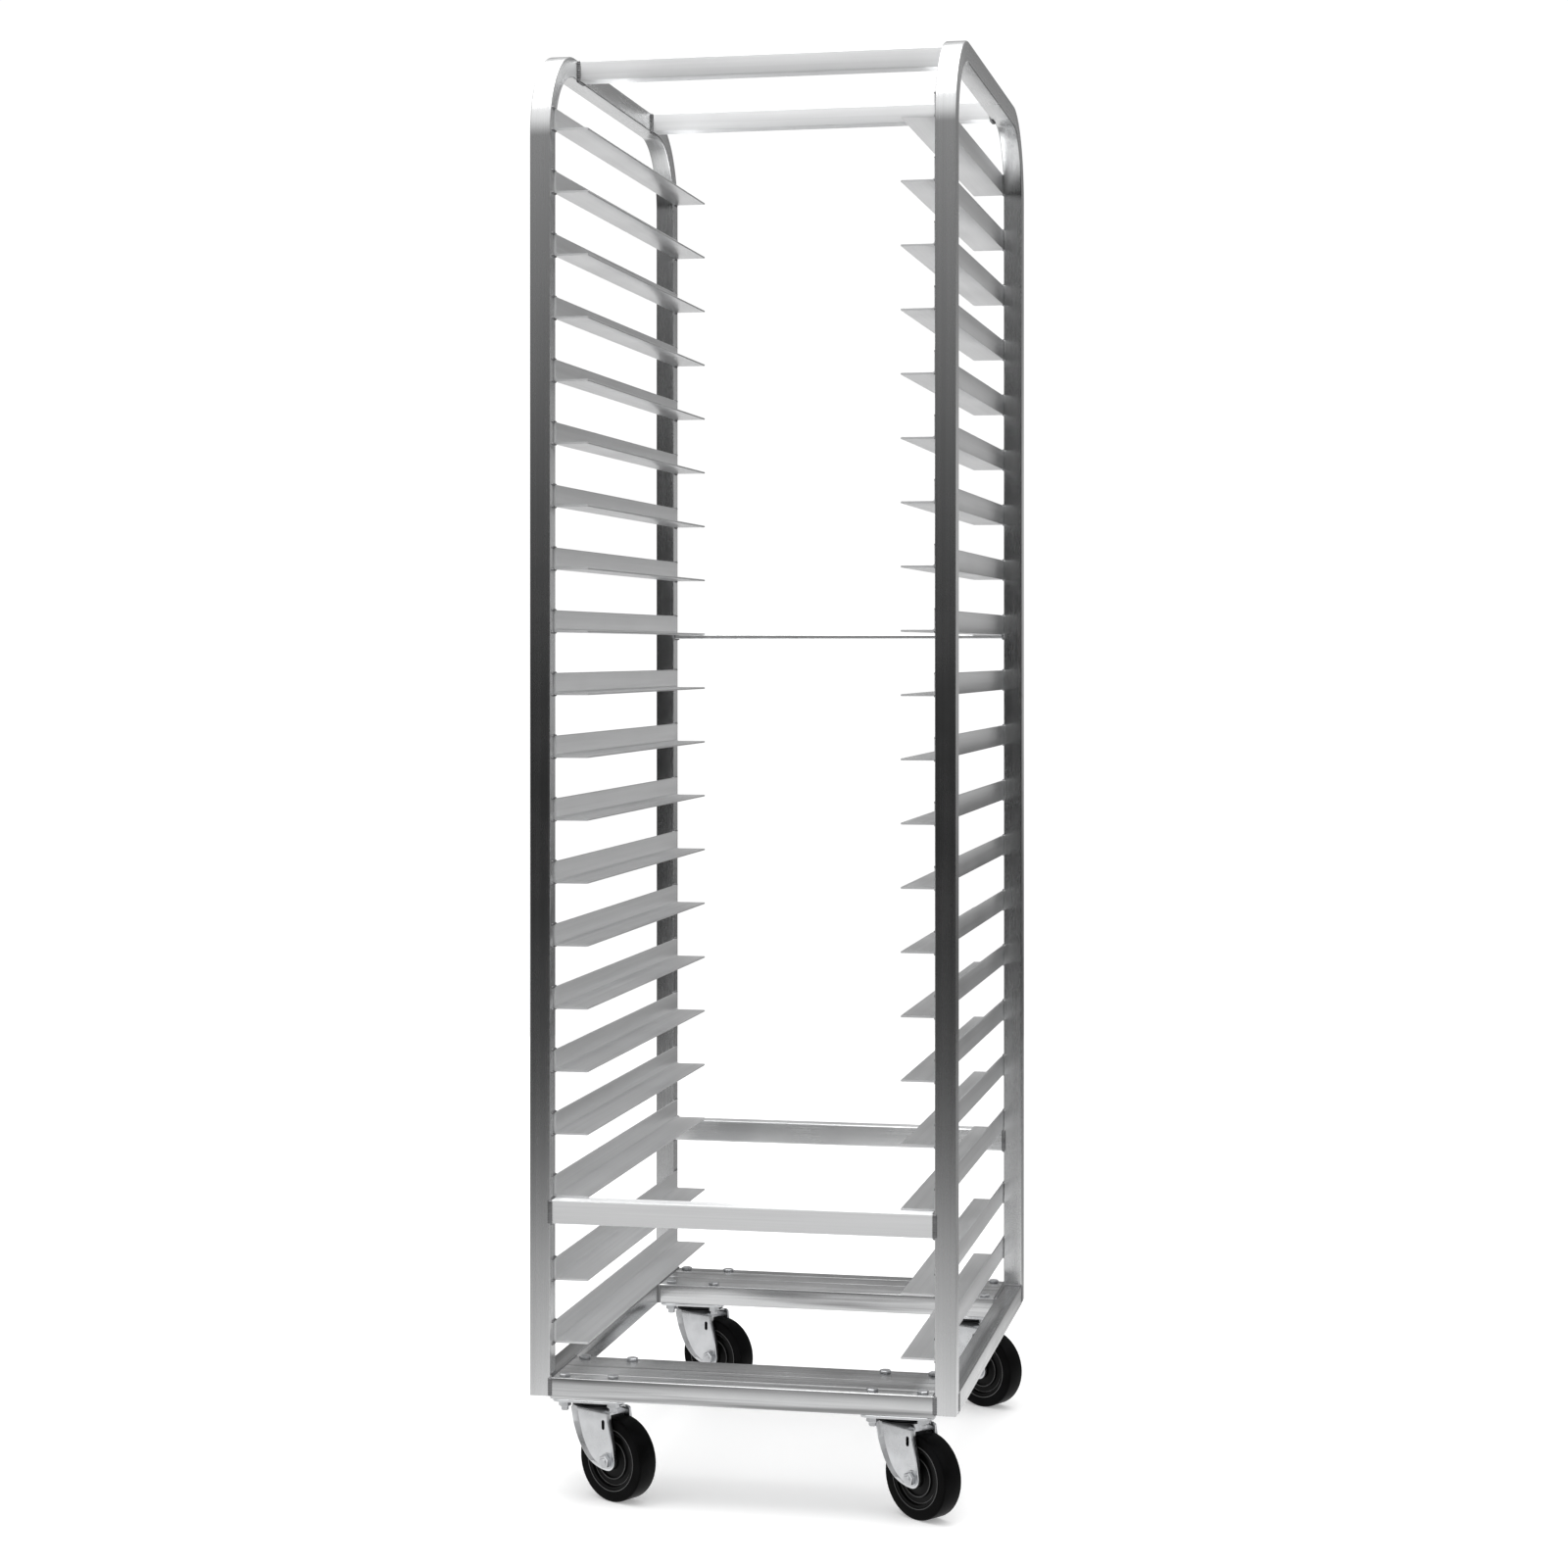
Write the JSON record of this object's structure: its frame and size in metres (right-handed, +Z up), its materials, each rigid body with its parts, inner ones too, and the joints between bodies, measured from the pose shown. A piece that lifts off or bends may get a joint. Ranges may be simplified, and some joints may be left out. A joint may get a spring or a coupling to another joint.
{
  "type": "sheet pan rack",
  "caption": "Tall open rolling rack of bent aluminium tube with angle slides for sheet pans, on swivel plate casters.",
  "frame": {"origin": "on the floor under the middle of the rack", "axes": "+Z up, +X to the right seen from the front, +Y to the rear"},
  "size_m": [0.5279, 0.6625, 1.7716],
  "materials": {
    "frame_aluminium": "satin extruded tube with faint length-wise brush lines",
    "slide_aluminium": "satin extruded angle with length-wise die lines",
    "base_aluminium": "satin extruded channel, lightly scuffed",
    "zinc_steel": "bright zinc plate on stamped steel",
    "wheel_rubber": "matte black moulded tread and hub"
  },
  "bodies": {
    "root": {"left_side_frame": "frame_aluminium", "right_side_frame": "frame_aluminium", "top_front_rail": "frame_aluminium", "top_rear_rail": "frame_aluminium", "lower_front_rail": "frame_aluminium", "lower_rear_rail": "frame_aluminium", "mid_rear_brace": "slide_aluminium", "base_frame": "base_aluminium", "slide_left_01": "slide_aluminium", "slide_left_02": "slide_aluminium", "slide_left_03": "slide_aluminium", "slide_left_04": "slide_aluminium", "slide_left_05": "slide_aluminium", "slide_left_06": "slide_aluminium", "slide_left_07": "slide_aluminium", "slide_left_08": "slide_aluminium", "slide_left_09": "slide_aluminium", "slide_left_10": "slide_aluminium", "slide_left_11": "slide_aluminium", "slide_left_12": "slide_aluminium", "slide_left_13": "slide_aluminium", "slide_left_14": "slide_aluminium", "slide_left_15": "slide_aluminium", "slide_left_16": "slide_aluminium", "slide_left_17": "slide_aluminium", "slide_left_18": "slide_aluminium", "slide_left_19": "slide_aluminium", "slide_left_20": "slide_aluminium", "slide_right_01": "slide_aluminium", "slide_right_02": "slide_aluminium", "slide_right_03": "slide_aluminium", "slide_right_04": "slide_aluminium", "slide_right_05": "slide_aluminium", "slide_right_06": "slide_aluminium", "slide_right_07": "slide_aluminium", "slide_right_08": "slide_aluminium", "slide_right_09": "slide_aluminium", "slide_right_10": "slide_aluminium", "slide_right_11": "slide_aluminium", "slide_right_12": "slide_aluminium", "slide_right_13": "slide_aluminium", "slide_right_14": "slide_aluminium", "slide_right_15": "slide_aluminium", "slide_right_16": "slide_aluminium", "slide_right_17": "slide_aluminium", "slide_right_18": "slide_aluminium", "slide_right_19": "slide_aluminium", "slide_right_20": "slide_aluminium", "caster_front_left_plate": "zinc_steel", "caster_front_right_plate": "zinc_steel", "caster_rear_left_plate": "zinc_steel", "caster_rear_right_plate": "zinc_steel"},
    "caster_front_left_swivel": {"caster_front_left_fork": "zinc_steel"},
    "caster_front_left_wheel": {"caster_front_left_wheel": "wheel_rubber"},
    "caster_front_right_swivel": {"caster_front_right_fork": "zinc_steel"},
    "caster_front_right_wheel": {"caster_front_right_wheel": "wheel_rubber"},
    "caster_rear_left_swivel": {"caster_rear_left_fork": "zinc_steel"},
    "caster_rear_left_wheel": {"caster_rear_left_wheel": "wheel_rubber"},
    "caster_rear_right_swivel": {"caster_rear_right_fork": "zinc_steel"},
    "caster_rear_right_wheel": {"caster_rear_right_wheel": "wheel_rubber"}
  },
  "joints": [
    {"name": "front_left_swivel", "type": "hinge", "parent": "root", "child": "caster_front_left_swivel", "pos_m": [-0.189, -0.27305, 0.115], "axis": [0, 0, 1], "continuous": true},
    {"name": "front_left_wheel_spin", "type": "hinge", "parent": "caster_front_left_swivel", "child": "caster_front_left_wheel", "pos_m": [-0.16057, -0.28881, 0.0508], "axis": [0.4848, 0.8746, 0], "continuous": true},
    {"name": "front_right_swivel", "type": "hinge", "parent": "root", "child": "caster_front_right_swivel", "pos_m": [0.189, -0.27305, 0.115], "axis": [0, 0, 1], "continuous": true},
    {"name": "front_right_wheel_spin", "type": "hinge", "parent": "caster_front_right_swivel", "child": "caster_front_right_wheel", "pos_m": [0.21529, -0.29215, 0.0508], "axis": [0.5878, 0.809, 0], "continuous": true},
    {"name": "rear_left_swivel", "type": "hinge", "parent": "root", "child": "caster_rear_left_swivel", "pos_m": [-0.189, 0.27305, 0.115], "axis": [0, 0, 1], "continuous": true},
    {"name": "rear_left_wheel_spin", "type": "hinge", "parent": "caster_rear_left_swivel", "child": "caster_rear_left_wheel", "pos_m": [-0.15954, 0.25931, 0.0508], "axis": [0.4226, 0.9063, 0], "continuous": true},
    {"name": "rear_right_swivel", "type": "hinge", "parent": "root", "child": "caster_rear_right_swivel", "pos_m": [0.189, 0.27305, 0.115], "axis": [0, 0, 1], "continuous": true},
    {"name": "rear_right_wheel_spin", "type": "hinge", "parent": "caster_rear_right_swivel", "child": "caster_rear_right_wheel", "pos_m": [0.21743, 0.25729, 0.0508], "axis": [0.4848, 0.8746, 0], "continuous": true}
  ]
}
